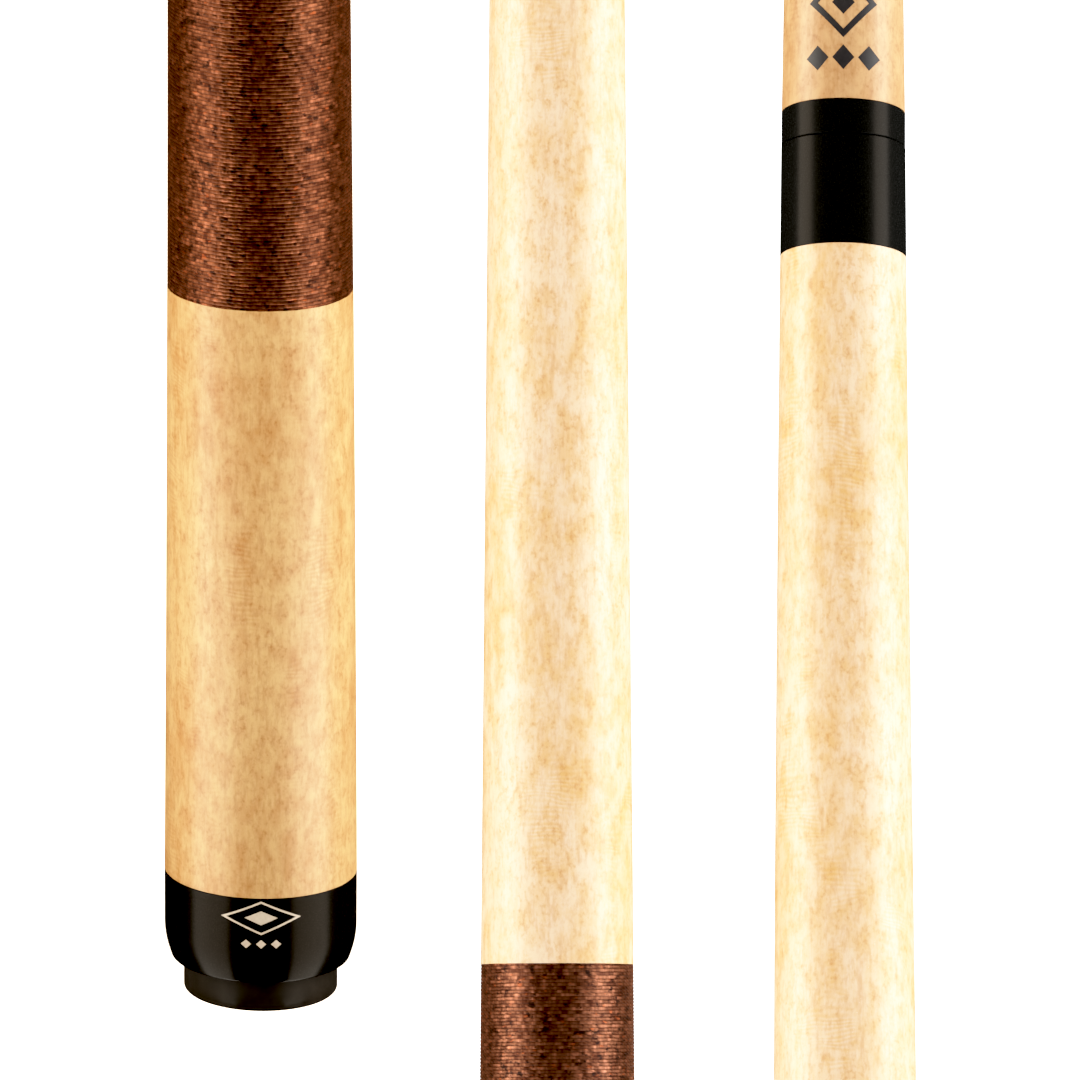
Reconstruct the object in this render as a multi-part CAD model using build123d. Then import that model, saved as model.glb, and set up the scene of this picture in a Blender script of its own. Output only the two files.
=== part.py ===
from build123d import *
from math import sqrt
import os

# Two-piece pool cue, in millimetres. It stands on its bumper: the origin is the
# centre of the bumper's lower face, +Z runs up the cue's axis to the tip.

# Places along the axis
BUMPER_TOP = 5.8
CAP_TOP = 20.8
WRAP_START = 118.0
WRAP_END = 439.0
COLLAR_START = 718.2
JOINT_FACE = 736.6
SHAFT_COLLAR_TOP = 742.4
CUE_LENGTH = 1473.2

# Outside of the butt: one straight taper
BUTT_RADIUS = 16.05
JOINT_RADIUS = 10.22
WRAP_DEPTH = 0.9

# Butt cap and bumper
CAP_SHOULDER_WIDTH = 1.05
CAP_SHOULDER_HEIGHT = 5.9
CAP_FOOT_EDGE = 0.5
BUMPER_RADIUS = 12.85
BUMPER_EDGE = 0.6
PLUG_RADIUS = 7.4
PLUG_TOP = 23.0
PLUG_NOSE = 1.5
BUMPER_BORE_RADIUS = 7.5
BUMPER_BORE_END = 24.5

# Handle core and what is screwed into it
CORE_TENON_RADIUS = 11.0
CORE_BOTTOM = 6.3
WEIGHT_RADIUS = 6.35
WEIGHT_START = 27.0
WEIGHT_LENGTH = 101.6
WEIGHT_BORE_END = 139.0
WEIGHT_HEX_FLATS = 6.35
WEIGHT_HEX_DEPTH = 8.0
HANDLE_TENON_RADIUS = 8.0
HANDLE_TENON_LENGTH = 25.4
STUD_RADIUS = 4.76
STUD_LENGTH = 76.2
STUD_HOLE_SPARE = 1.0

# Joint
COLLAR_TENON_RADIUS = 7.5
COLLAR_CHAMFER = 0.18
TENON_RECESS = 0.3
PIN_ANCHOR_RADIUS = 4.76
PIN_ANCHOR_LENGTH = 50.8
PIN_SHANK_RADIUS = 4.6
PIN_SHANK_LENGTH = 12.0
PIN_NECK_LENGTH = 1.4
PIN_NOSE_RADIUS = 2.9
PIN_NOSE_LENGTH = 7.5
PIN_NOSE_CONE = 1.8
THREAD_PITCH = 25.4 / 14
THREAD_TURNS = 6
THREAD_MAJOR = 3.97
THREAD_ROOT = 3.05
THREAD_PLAY = 0.1
RIDGE_BASE = 0.95
RIDGE_CREST = 0.45
RIDGE_ROOT = 0.05

# Shaft, from the joint to the tip
SHAFT_COLLAR_RADIUS = 10.18
SHAFT_JOINT_RADIUS = 10.17
SHAFT_TENON_RADIUS = 8.0
SHAFT_TENON_PLAY = 0.03
INSERT_RADIUS = 6.35
INSERT_START = 737.0
INSERT_LENGTH = 38.1
INSERT_COUNTERBORE_RADIUS = 4.7
INSERT_COUNTERBORE_END = 749.4
INSERT_END_WALL = 1.6
TIP_RADIUS = 6.375
STROKE_LENGTH = 330.0
STROKE_RADIUS = 6.6
BLEND_LENGTH = 180.0
FERRULE_LENGTH = 25.4
FERRULE_TENON_RADIUS = 4.0
FERRULE_TENON_LENGTH = 19.0
PAD_THICKNESS = 0.8
TIP_HEIGHT = 6.0
TIP_DOME_RADIUS = 10.6


def butt_radius(height):
    """Outer radius of the butt at a height, on the straight taper."""
    slope = (JOINT_RADIUS - BUTT_RADIUS) / (JOINT_FACE - CAP_TOP)
    return BUTT_RADIUS + slope * (height - CAP_TOP)


def turned_edges(*edges):
    """The solid that a closed outline of lines and curves makes when it is turned.

    An outline is drawn flat, as (radius, height), and is stood up before it is turned.
    """
    return revolve(Plane.XZ * make_face(Wire(edges)), Axis.Z)


def turned(*outline):
    """The solid that a closed outline of (radius, height) points makes when it is turned."""
    return revolve(Plane.XZ * make_face(Polyline(*outline, close=True)), Axis.Z)


def rod(radius, start, end):
    """A plain cylinder on the axis."""
    return turned((0, start), (radius, start), (radius, end), (0, end))


def ridge(base_radius, crest_radius, start, turns):
    """One screw-thread ridge, right-handed, from its base at one radius to its crest at another."""
    path = Helix(THREAD_PITCH, THREAD_PITCH * turns, base_radius, center=(0, 0, start))
    half_base, half_crest = RIDGE_BASE / 2, RIDGE_CREST / 2
    section = Plane.XZ * make_face(Polyline(
        (base_radius, start - half_base),
        (crest_radius, start - half_crest),
        (crest_radius, start + half_crest),
        (base_radius, start + half_base),
        close=True,
    ))
    return sweep(section, path=path, is_frenet=True)


def make_bumper():
    """Rubber foot with a plug that pushes into the end of the butt."""
    edge = BUMPER_EDGE
    return turned_edges(
        Line((0, 0), (BUMPER_RADIUS - edge, 0)),
        RadiusArc((BUMPER_RADIUS - edge, 0), (BUMPER_RADIUS, edge), -edge),
        Line((BUMPER_RADIUS, edge), (BUMPER_RADIUS, BUMPER_TOP)),
        Line((BUMPER_RADIUS, BUMPER_TOP), (PLUG_RADIUS, BUMPER_TOP)),
        Line((PLUG_RADIUS, BUMPER_TOP), (PLUG_RADIUS, PLUG_TOP - PLUG_NOSE)),
        Line((PLUG_RADIUS, PLUG_TOP - PLUG_NOSE), (PLUG_RADIUS - PLUG_NOSE, PLUG_TOP)),
        Line((PLUG_RADIUS - PLUG_NOSE, PLUG_TOP), (0, PLUG_TOP)),
        Line((0, PLUG_TOP), (0, 0)),
    )


def make_butt_cap():
    """Black end ring, drawn in by a slight shoulder over the bumper."""
    foot_radius = BUTT_RADIUS - CAP_SHOULDER_WIDTH
    shoulder_start = BUMPER_TOP + CAP_FOOT_EDGE
    shoulder_top = BUMPER_TOP + CAP_SHOULDER_HEIGHT
    rise = shoulder_top - shoulder_start
    # an arc that meets the ring's straight side without a corner
    shoulder_bend = (rise**2 + CAP_SHOULDER_WIDTH**2) / (2 * CAP_SHOULDER_WIDTH)
    foot_flat = foot_radius - CAP_FOOT_EDGE
    return turned_edges(
        RadiusArc((foot_flat, BUMPER_TOP), (foot_radius, shoulder_start), -CAP_FOOT_EDGE),
        RadiusArc((foot_radius, shoulder_start), (BUTT_RADIUS, shoulder_top), -shoulder_bend),
        Line((BUTT_RADIUS, shoulder_top), (BUTT_RADIUS, CAP_TOP)),
        Line((BUTT_RADIUS, CAP_TOP), (CORE_TENON_RADIUS, CAP_TOP)),
        Line((CORE_TENON_RADIUS, CAP_TOP), (CORE_TENON_RADIUS, BUMPER_TOP)),
        Line((CORE_TENON_RADIUS, BUMPER_TOP), (foot_flat, BUMPER_TOP)),
    )


def make_weight_bolt():
    """Steel balance screw with a hexagon socket facing the bumper."""
    bolt = rod(WEIGHT_RADIUS, WEIGHT_START, WEIGHT_START + WEIGHT_LENGTH)
    socket = extrude(
        Plane.XY.offset(WEIGHT_START) * RegularPolygon(WEIGHT_HEX_FLATS / 2, 6, major_radius=False),
        WEIGHT_HEX_DEPTH,
    )
    return bolt - socket


def make_butt_sleeve():
    """Maple sleeve between the cap and the wrap, bored for the handle core's tenon."""
    return turned(
        (CORE_TENON_RADIUS, CAP_TOP),
        (BUTT_RADIUS, CAP_TOP),
        (butt_radius(WRAP_START), WRAP_START),
        (CORE_TENON_RADIUS, WRAP_START),
    )


def make_handle_core():
    """Maple core: a long tenon under the cap and sleeve, the wrap's seat, and the forearm's tenon."""
    tenon_end = WRAP_END + HANDLE_TENON_LENGTH
    core = turned(
        (0, CORE_BOTTOM),
        (CORE_TENON_RADIUS, CORE_BOTTOM),
        (CORE_TENON_RADIUS, WRAP_START),
        (butt_radius(WRAP_START) - WRAP_DEPTH, WRAP_START),
        (butt_radius(WRAP_END) - WRAP_DEPTH, WRAP_END),
        (HANDLE_TENON_RADIUS, WRAP_END),
        (HANDLE_TENON_RADIUS, tenon_end),
        (0, tenon_end),
    )
    stud_start = tenon_end - STUD_LENGTH / 2
    core -= rod(BUMPER_BORE_RADIUS, CORE_BOTTOM, BUMPER_BORE_END)
    core -= rod(WEIGHT_RADIUS, BUMPER_BORE_END, WEIGHT_BORE_END)
    core -= rod(STUD_RADIUS, stud_start - STUD_HOLE_SPARE, tenon_end)
    return core


def make_handle_stud():
    """Steel stud that ties the handle core to the forearm."""
    middle = WRAP_END + HANDLE_TENON_LENGTH
    return rod(STUD_RADIUS, middle - STUD_LENGTH / 2, middle + STUD_LENGTH / 2)


def make_linen_wrap():
    """Wound linen, flush with the wood at both ends."""
    low, high = butt_radius(WRAP_START), butt_radius(WRAP_END)
    return turned(
        (low - WRAP_DEPTH, WRAP_START),
        (low, WRAP_START),
        (high, WRAP_END),
        (high - WRAP_DEPTH, WRAP_END),
    )


def make_forearm():
    """Maple forearm, with a tenon for the joint collar and holes for the stud and the pin."""
    tenon_top = JOINT_FACE - TENON_RECESS
    pin_start = tenon_top - PIN_ANCHOR_LENGTH
    tenon_end = WRAP_END + HANDLE_TENON_LENGTH
    forearm = turned(
        (0, WRAP_END),
        (butt_radius(WRAP_END), WRAP_END),
        (butt_radius(COLLAR_START), COLLAR_START),
        (COLLAR_TENON_RADIUS, COLLAR_START),
        (COLLAR_TENON_RADIUS, tenon_top),
        (0, tenon_top),
    )
    forearm -= rod(HANDLE_TENON_RADIUS, WRAP_END, tenon_end)
    forearm -= rod(STUD_RADIUS, tenon_end, tenon_end + STUD_LENGTH / 2 + STUD_HOLE_SPARE)
    forearm -= rod(PIN_ANCHOR_RADIUS, pin_start, tenon_top)
    return forearm


def make_joint_collar():
    """Black collar at the top of the butt. Its upper face is the joint face."""
    return turned(
        (COLLAR_TENON_RADIUS, COLLAR_START),
        (butt_radius(COLLAR_START), COLLAR_START),
        (JOINT_RADIUS, JOINT_FACE - COLLAR_CHAMFER),
        (JOINT_RADIUS - COLLAR_CHAMFER, JOINT_FACE),
        (COLLAR_TENON_RADIUS, JOINT_FACE),
    )


def make_joint_pin():
    """Steel quick-release pin: an anchor in the forearm, a smooth shank, a short thread and a nose."""
    anchor_top = JOINT_FACE - TENON_RECESS
    shank_top = JOINT_FACE + PIN_SHANK_LENGTH
    thread_start = shank_top + PIN_NECK_LENGTH
    nose_start = thread_start + THREAD_PITCH * THREAD_TURNS + PIN_NECK_LENGTH
    nose_end = nose_start + PIN_NOSE_LENGTH
    pin = turned(
        (0, anchor_top - PIN_ANCHOR_LENGTH),
        (PIN_ANCHOR_RADIUS, anchor_top - PIN_ANCHOR_LENGTH),
        (PIN_ANCHOR_RADIUS, anchor_top),
        (PIN_SHANK_RADIUS, anchor_top),
        (PIN_SHANK_RADIUS, shank_top),
        (THREAD_ROOT, shank_top),
        (THREAD_ROOT, nose_start),
        (PIN_NOSE_RADIUS, nose_start),
        (PIN_NOSE_RADIUS, nose_end - PIN_NOSE_CONE),
        (PIN_NOSE_RADIUS - PIN_NOSE_CONE, nose_end),
        (0, nose_end),
    )
    return pin + ridge(THREAD_ROOT - RIDGE_ROOT, THREAD_MAJOR, thread_start, THREAD_TURNS)


def make_shaft_collar():
    """Black ring at the foot of the shaft. Its lower face meets the joint face."""
    bore = SHAFT_TENON_RADIUS + SHAFT_TENON_PLAY
    return turned(
        (bore, JOINT_FACE),
        (SHAFT_COLLAR_RADIUS - COLLAR_CHAMFER, JOINT_FACE),
        (SHAFT_COLLAR_RADIUS, JOINT_FACE + COLLAR_CHAMFER),
        (SHAFT_COLLAR_RADIUS, SHAFT_COLLAR_TOP),
        (bore, SHAFT_COLLAR_TOP),
    )


def make_shaft_insert():
    """Brass bush in the shaft, threaded for the joint pin."""
    insert_end = INSERT_START + INSERT_LENGTH
    bush = rod(INSERT_RADIUS, INSERT_START, insert_end)
    bush -= rod(INSERT_COUNTERBORE_RADIUS, INSERT_START, INSERT_COUNTERBORE_END)
    bush -= rod(THREAD_MAJOR + THREAD_PLAY, INSERT_COUNTERBORE_END, insert_end - INSERT_END_WALL)
    # the ridge stands half a pitch from the pin's, so the two are in mesh at rest
    thread_start = JOINT_FACE + PIN_SHANK_LENGTH + PIN_NECK_LENGTH + THREAD_PITCH / 2
    wall, crest = THREAD_MAJOR + THREAD_PLAY, THREAD_ROOT + THREAD_PLAY
    return bush + ridge(wall + RIDGE_ROOT, crest, thread_start, THREAD_TURNS)


def shaft_edge():
    """The shaft's outer profile: straight behind the ferrule, then a smooth swell to the joint."""
    ferrule_start = CUE_LENGTH - TIP_HEIGHT - PAD_THICKNESS - FERRULE_LENGTH
    stroke_end = ferrule_start - STROKE_LENGTH
    blend_end = stroke_end - BLEND_LENGTH
    stroke_slope = (STROKE_RADIUS - TIP_RADIUS) / STROKE_LENGTH
    swell = (SHAFT_JOINT_RADIUS - STROKE_RADIUS) / (stroke_end - BLEND_LENGTH / 2 - SHAFT_COLLAR_TOP)
    blend_radius = SHAFT_JOINT_RADIUS - swell * (blend_end - SHAFT_COLLAR_TOP)
    joint, swell_end = (SHAFT_JOINT_RADIUS, SHAFT_COLLAR_TOP), (blend_radius, blend_end)
    stroke, ferrule = (STROKE_RADIUS, stroke_end), (TIP_RADIUS, ferrule_start)
    return [
        Line(joint, swell_end),
        Spline(swell_end, stroke, tangents=[(-swell, 1), (-stroke_slope, 1)]),
        Line(stroke, ferrule),
    ]


def make_shaft():
    """Maple shaft, with a tenon at each end and the hole for the insert."""
    ferrule_start = CUE_LENGTH - TIP_HEIGHT - PAD_THICKNESS - FERRULE_LENGTH
    tenon_top = ferrule_start + FERRULE_TENON_LENGTH
    tenon_foot = JOINT_FACE + TENON_RECESS
    body = turned_edges(
        *shaft_edge(),
        Line((TIP_RADIUS, ferrule_start), (FERRULE_TENON_RADIUS, ferrule_start)),
        Line((FERRULE_TENON_RADIUS, ferrule_start), (FERRULE_TENON_RADIUS, tenon_top)),
        Line((FERRULE_TENON_RADIUS, tenon_top), (0, tenon_top)),
        Line((0, tenon_top), (0, tenon_foot)),
        Line((0, tenon_foot), (SHAFT_TENON_RADIUS, tenon_foot)),
        Line((SHAFT_TENON_RADIUS, tenon_foot), (SHAFT_TENON_RADIUS, SHAFT_COLLAR_TOP)),
        Line((SHAFT_TENON_RADIUS, SHAFT_COLLAR_TOP), (SHAFT_JOINT_RADIUS, SHAFT_COLLAR_TOP)),
    )
    return body - rod(INSERT_RADIUS, tenon_foot, INSERT_START + INSERT_LENGTH)


def make_ferrule():
    """White ferrule, a thimble over the shaft's tenon."""
    top = CUE_LENGTH - TIP_HEIGHT - PAD_THICKNESS
    start = top - FERRULE_LENGTH
    return rod(TIP_RADIUS, start, top) - rod(FERRULE_TENON_RADIUS, start, start + FERRULE_TENON_LENGTH)


def make_tip_pad():
    """Fibre pad under the tip."""
    top = CUE_LENGTH - TIP_HEIGHT
    return rod(TIP_RADIUS, top - PAD_THICKNESS, top)


def make_tip():
    """Leather tip with a domed face."""
    dome = TIP_DOME_RADIUS - sqrt(TIP_DOME_RADIUS**2 - TIP_RADIUS**2)
    start, edge = CUE_LENGTH - TIP_HEIGHT, CUE_LENGTH - dome
    return turned_edges(
        Line((0, start), (TIP_RADIUS, start)),
        Line((TIP_RADIUS, start), (TIP_RADIUS, edge)),
        RadiusArc((TIP_RADIUS, edge), (0, CUE_LENGTH), -TIP_DOME_RADIUS),
        Line((0, CUE_LENGTH), (0, start)),
    )


nodes = {
    "bumper": make_bumper,
    "butt_cap": make_butt_cap,
    "weight_bolt": make_weight_bolt,
    "butt_sleeve": make_butt_sleeve,
    "handle_core": make_handle_core,
    "handle_stud": make_handle_stud,
    "linen_wrap": make_linen_wrap,
    "forearm": make_forearm,
    "joint_collar": make_joint_collar,
    "joint_pin": make_joint_pin,
    "shaft_collar": make_shaft_collar,
    "shaft_insert": make_shaft_insert,
    "shaft": make_shaft,
    "ferrule": make_ferrule,
    "tip_pad": make_tip_pad,
    "tip": make_tip,
}

os.makedirs("parts", exist_ok=True)
for name, make in nodes.items():
    export_step(make(), f"parts/{name}.step")
    print("wrote", name)
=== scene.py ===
import math

import bpy
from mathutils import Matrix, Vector


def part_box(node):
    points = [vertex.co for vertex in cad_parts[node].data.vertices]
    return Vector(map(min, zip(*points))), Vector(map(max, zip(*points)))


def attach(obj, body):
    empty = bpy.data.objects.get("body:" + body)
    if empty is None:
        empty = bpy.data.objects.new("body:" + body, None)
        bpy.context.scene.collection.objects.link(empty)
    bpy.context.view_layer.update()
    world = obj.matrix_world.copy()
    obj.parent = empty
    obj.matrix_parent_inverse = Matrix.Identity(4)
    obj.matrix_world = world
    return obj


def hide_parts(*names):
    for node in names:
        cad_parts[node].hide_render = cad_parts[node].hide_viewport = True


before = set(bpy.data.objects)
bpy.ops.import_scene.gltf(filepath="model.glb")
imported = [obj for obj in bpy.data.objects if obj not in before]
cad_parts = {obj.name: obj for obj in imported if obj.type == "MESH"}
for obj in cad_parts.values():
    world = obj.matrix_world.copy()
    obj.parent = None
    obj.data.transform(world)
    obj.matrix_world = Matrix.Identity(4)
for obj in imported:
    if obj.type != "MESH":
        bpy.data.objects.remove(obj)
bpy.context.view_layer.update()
scene = bpy.context.scene
mm = 0.001


# heights and outer radii of the cue, read from the frame
def lowEnd(node):
    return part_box(node)[0].z


def highEnd(node):
    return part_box(node)[1].z


def rimRadius(node, height):
    # the widest ring of a node's own points at one height
    points = [v.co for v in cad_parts[node].data.vertices if abs(v.co.z - height) < 0.02 * mm]
    return max(math.hypot(p.x, p.y) for p in points)


capTop = highEnd("butt_cap")
wrapStart = lowEnd("linen_wrap")
wrapEnd = highEnd("linen_wrap")
collarStart = lowEnd("joint_collar")
jointFace = highEnd("joint_collar")
shaftStart = highEnd("shaft_collar")
ferruleStart = lowEnd("ferrule")
padStart = lowEnd("tip_pad")
tipStart = lowEnd("tip")
cueTop = highEnd("tip")
capRadius = rimRadius("butt_cap", capTop)
wrapLowRadius = rimRadius("linen_wrap", wrapStart)
wrapHighRadius = rimRadius("linen_wrap", wrapEnd)
collarRadius = rimRadius("joint_collar", collarStart)
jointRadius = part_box("shaft_collar")[1].x
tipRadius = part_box("ferrule")[1].x
print("frame loaded, cue", round(cueTop, 4), "m long")


# helpers that every piece uses
def deselectAll():
    if bpy.context.mode != "OBJECT":
        bpy.ops.object.mode_set(mode="OBJECT")
    bpy.ops.object.select_all(action="DESELECT")


def editAll():
    bpy.ops.object.mode_set(mode="EDIT")
    bpy.ops.mesh.select_mode(type="VERT")
    bpy.ops.mesh.select_all(action="SELECT")


def finishPiece(name, body, material, nodes=(), smoothAngle=32):
    piece = bpy.context.object
    if bpy.context.mode != "OBJECT":
        bpy.ops.object.mode_set(mode="OBJECT")
    piece.name = name
    piece.data.name = name
    piece.data.materials.clear()
    piece.data.materials.append(material)
    bpy.ops.object.shade_smooth_by_angle(angle=math.radians(smoothAngle))
    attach(piece, body)
    if nodes:
        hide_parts(*nodes)
    print("made", name, len(piece.data.polygons), "faces")


turning = {
    "sides": 128,               # round each piece
    "poleRadius": 1e-7,         # m: a ring drawn in this far is welded into a pole
    "weld": 2e-6,               # m between points that become one
}


def turnPiece(outline):
    # a lathe: one ring is drawn out along (radius, height) points; on-axis ends become poles
    deselectAll()
    points = list(outline)
    ring = points[0][0] > 0
    if not ring:
        points.pop(0)
    radius, height = points[0]
    fill = "NOTHING" if ring else "TRIFAN"
    bpy.ops.mesh.primitive_circle_add(vertices=turning["sides"], radius=radius, fill_type=fill)
    editAll()
    bpy.ops.transform.translate(value=(0, 0, height))
    if not ring:
        bpy.ops.mesh.select_mode(type="EDGE")
        bpy.ops.mesh.region_to_loop()
    for nextRadius, nextHeight in points[1:]:
        bpy.ops.mesh.extrude_region()
        bpy.ops.transform.translate(value=(0, 0, nextHeight - height))
        nextRadius = max(nextRadius, turning["poleRadius"])
        factor = nextRadius / radius
        bpy.ops.transform.resize(value=(factor, factor, 1), center_override=(0, 0, nextHeight))
        radius, height = nextRadius, nextHeight
    bpy.ops.mesh.select_all(action="SELECT")
    bpy.ops.mesh.remove_doubles(threshold=turning["weld"])
    bpy.ops.mesh.normals_make_consistent(inside=False)


def roundEdge(centre, radii, fromAngle, toAngle, steps):
    # points of an arc or an ellipse's quarter in the (radius, height) outline, angles in degrees
    points = []
    for step in range(steps + 1):
        angle = math.radians(fromAngle + (toAngle - fromAngle) * step / steps)
        points.append((centre[0] + radii[0] * math.cos(angle), centre[1] + radii[1] * math.sin(angle)))
    return points


# a material is built from nodes that these functions add and wire by socket name
def newMaterial(name):
    material = bpy.data.materials.new(name)
    material.use_nodes = True
    return material


def feed(material, node, key, value):
    socket = node.inputs[key]
    if isinstance(value, bpy.types.NodeSocket):
        material.node_tree.links.new(value, socket)
    else:
        socket.default_value = value


def addNode(material, kind, inputs=None, **settings):
    node = material.node_tree.nodes.new(kind)
    for key, value in settings.items():
        setattr(node, key, value)
    for key, value in (inputs or {}).items():
        feed(material, node, key, value)
    return node


def setShader(material, **values):
    shader = material.node_tree.nodes["Principled BSDF"]
    for key, value in values.items():
        feed(material, shader, key.replace("_", " "), value)


def combine(material, operation, first, second=0.0, clamp=False):
    inputs = {0: first, 1: second}
    return addNode(material, "ShaderNodeMath", inputs, operation=operation, use_clamp=clamp).outputs[0]


def place(material, scale=(1, 1, 1), location=(0, 0, 0), rotation=(0, 0, 0)):
    coordinates = addNode(material, "ShaderNodeTexCoord").outputs["Object"]
    inputs = {"Vector": coordinates, "Location": location, "Rotation": rotation, "Scale": scale}
    return addNode(material, "ShaderNodeMapping", inputs).outputs["Vector"]


def noise(material, vector, scale, detail=2.0, roughness=0.5, distortion=0.0):
    inputs = {
        "Vector": vector, "Scale": scale, "Detail": detail,
        "Roughness": roughness, "Distortion": distortion,
    }
    return addNode(material, "ShaderNodeTexNoise", inputs).outputs["Fac"]


def band(material, value, low, high, outLow=0.0, outHigh=1.0):
    # value between low and high, stretched to outLow and outHigh
    inputs = {"Value": value, "From Min": low, "From Max": high, "To Min": outLow, "To Max": outHigh}
    return addNode(material, "ShaderNodeMapRange", inputs).outputs["Result"]


def mixColours(material, factor, first, second, kind="MIX"):
    node = addNode(material, "ShaderNodeMix", data_type="RGBA", blend_type=kind)
    for key, value in ((0, factor), (6, first), (7, second)):
        feed(material, node, key, value)
    return node.outputs[2]


def bump(material, height, strength, distance):
    inputs = {"Height": height, "Strength": strength, "Distance": distance}
    return addNode(material, "ShaderNodeBump", inputs).outputs["Normal"]


def tone(red, green, blue):
    # a colour given as it looks on screen, 0 to 255
    def linear(value):
        value /= 255
        return value / 12.92 if value <= 0.04045 else ((value + 0.055) / 1.055) ** 2.4
    return (linear(red), linear(green), linear(blue), 1.0)


mapleFinish = {
    "mottle": 2.6,              # mm across a soft cloud of colour
    "patch": 16.0,              # mm across the slow changes
    "dot": 0.75,                # mm across the small brown flecks
    "streak": 0.9,              # mm across a short streak along the grain
    "fibre": 0.35,              # mm across a fibre
    "ripple": 0.85,             # mm between the fine arcs of the figure
    "figure": 8.0,              # mm across a patch of them
    "arcBend": 22.0,            # how far the arcs wander
    "arcStrength": 0.3,
    "fleckStrength": 0.65,
    "streakStrength": 0.42,
    "roughness": 0.5,
    "specular": 0.4,
    "coatRoughness": 0.3,
}
# screen colours of each piece's wood, its gloss, and how far its figure is moved from the others'
woods = {
    "buttMaple": {"light": (247, 208, 147), "dark": (213, 158, 94), "fleck": (184, 124, 62),
                  "gloss": 0.4, "shift": 0.31},
    "foreMaple": {"light": (237, 203, 168), "dark": (221, 167, 100), "fleck": (197, 133, 68),
                  "gloss": 0.35, "shift": 0.37},
    "shaftMaple": {"light": (207, 162, 112), "dark": (180, 128, 76), "fleck": (155, 101, 52),
                   "gloss": 0.3, "shift": 0.81},
    "coreMaple": {"light": (226, 196, 150), "dark": (196, 150, 98), "fleck": (166, 116, 66),
                  "gloss": 0.0, "shift": 0.53},
}


def makeMaple(name):
    # hard maple: clouds, brown flecks, short streaks and patches of fine arcs, under clear lacquer
    look = mapleFinish
    light, dark, fleck = [tone(*woods[name][key]) for key in ("light", "dark", "fleck")]
    shift = woods[name]["shift"]
    wood = newMaterial(name)

    def cloud(size, along, detail=2.0, roughness=0.5, offset=(0, 0, 0)):
        return noise(wood, place(wood, (1, 1, along), offset), 1 / (size * mm), detail, roughness)

    mottle = cloud(look["mottle"], 0.6, 4, 0.62, (shift, 0, 0))
    patch = cloud(look["patch"], 0.6, 2, 0.5, (0, shift, 0))
    dots = cloud(look["dot"], 0.8, 2, 0.6, (0, 0, shift))
    streaks = cloud(look["streak"], 0.28, 3, 0.6, (shift, shift, 0))
    fibres = cloud(look["fibre"], 0.05, 3, 0.6, (shift, 0, shift))
    figure = cloud(look["figure"], 0.4, 2, 0.5, (0, shift, shift))
    arcs = addNode(wood, "ShaderNodeTexWave", {
        "Vector": place(wood, (0.5, 0.5, 1), (0, 0, shift)), "Scale": math.pi / (10 * look["ripple"] * mm),
        "Distortion": look["arcBend"], "Detail": 2.0, "Detail Scale": 0.4, "Detail Roughness": 0.55,
    }, wave_type="BANDS", bands_direction="Z").outputs["Fac"]
    shade = band(wood, mottle, 0.36, 0.66, 0.0, 0.65)
    shade = combine(wood, "ADD", shade, band(wood, patch, 0.35, 0.65, -0.15, 0.3))
    shade = combine(wood, "ADD", shade, band(wood, fibres, 0.3, 0.7, -0.06, 0.1))
    figured = combine(wood, "MULTIPLY", arcs, band(wood, figure, 0.54, 0.68, 0.0, look["arcStrength"]))
    shade = combine(wood, "ADD", shade, figured, clamp=True)
    colour = mixColours(wood, shade, light, dark)
    clouded = band(wood, mottle, 0.42, 0.6, 0.3, 1.0)
    spots = band(wood, dots, 0.5, 0.72, 0.0, look["fleckStrength"])
    colour = mixColours(wood, combine(wood, "MULTIPLY", spots, clouded), colour, fleck)
    lines = band(wood, streaks, 0.5, 0.72, 0.0, look["streakStrength"])
    colour = mixColours(wood, lines, colour, fleck)
    setShader(
        wood, Base_Color=colour, Roughness=look["roughness"], Coat_Weight=woods[name]["gloss"],
        Coat_Roughness=look["coatRoughness"], Specular_IOR_Level=look["specular"],
        Normal=bump(wood, fibres, 0.12, 0.02 * mm),
    )
    return wood


buttMaple = makeMaple("buttMaple")
foreMaple = makeMaple("foreMaple")
shaftMaple = makeMaple("shaftMaple")
coreMaple = makeMaple("coreMaple")

resinFinish = {
    "light": (29, 29, 28), "dark": (19, 19, 18),
    "lines": 9000,              # lathe lines, as a noise scale
    "speckle": 5200,
    "specular": 0.058, "glossTint": (1.0, 0.86, 0.72, 1),
}

def makeResin():
    # black phenolic, turned and polished: faint lathe lines and dust-fine speckle
    look = resinFinish
    resin = newMaterial("blackResin")
    lines = noise(resin, place(resin, scale=(0.02, 0.02, 1)), look["lines"], 2)
    speckle = noise(resin, place(resin), look["speckle"], 2, 0.7)
    dust = band(resin, speckle, 0.35, 0.75)
    relief = combine(resin, "ADD", lines, combine(resin, "MULTIPLY", speckle, 0.6))
    setShader(
        resin,
        Base_Color=mixColours(resin, dust, tone(*look["dark"]), tone(*look["light"])),
        Roughness=band(resin, speckle, 0.3, 0.7, 0.2, 0.29),
        Specular_IOR_Level=look["specular"], Specular_Tint=look["glossTint"],
        Normal=bump(resin, relief, 0.1, 0.01 * mm),
    )
    return resin


rubberFinish = {
    "light": (51, 50, 49), "dark": (40, 40, 39),
    "grain": 3800,              # as a noise scale
    "wear": 260,
    "specular": 0.055, "glossTint": (1.0, 0.86, 0.72, 1),
}


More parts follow.
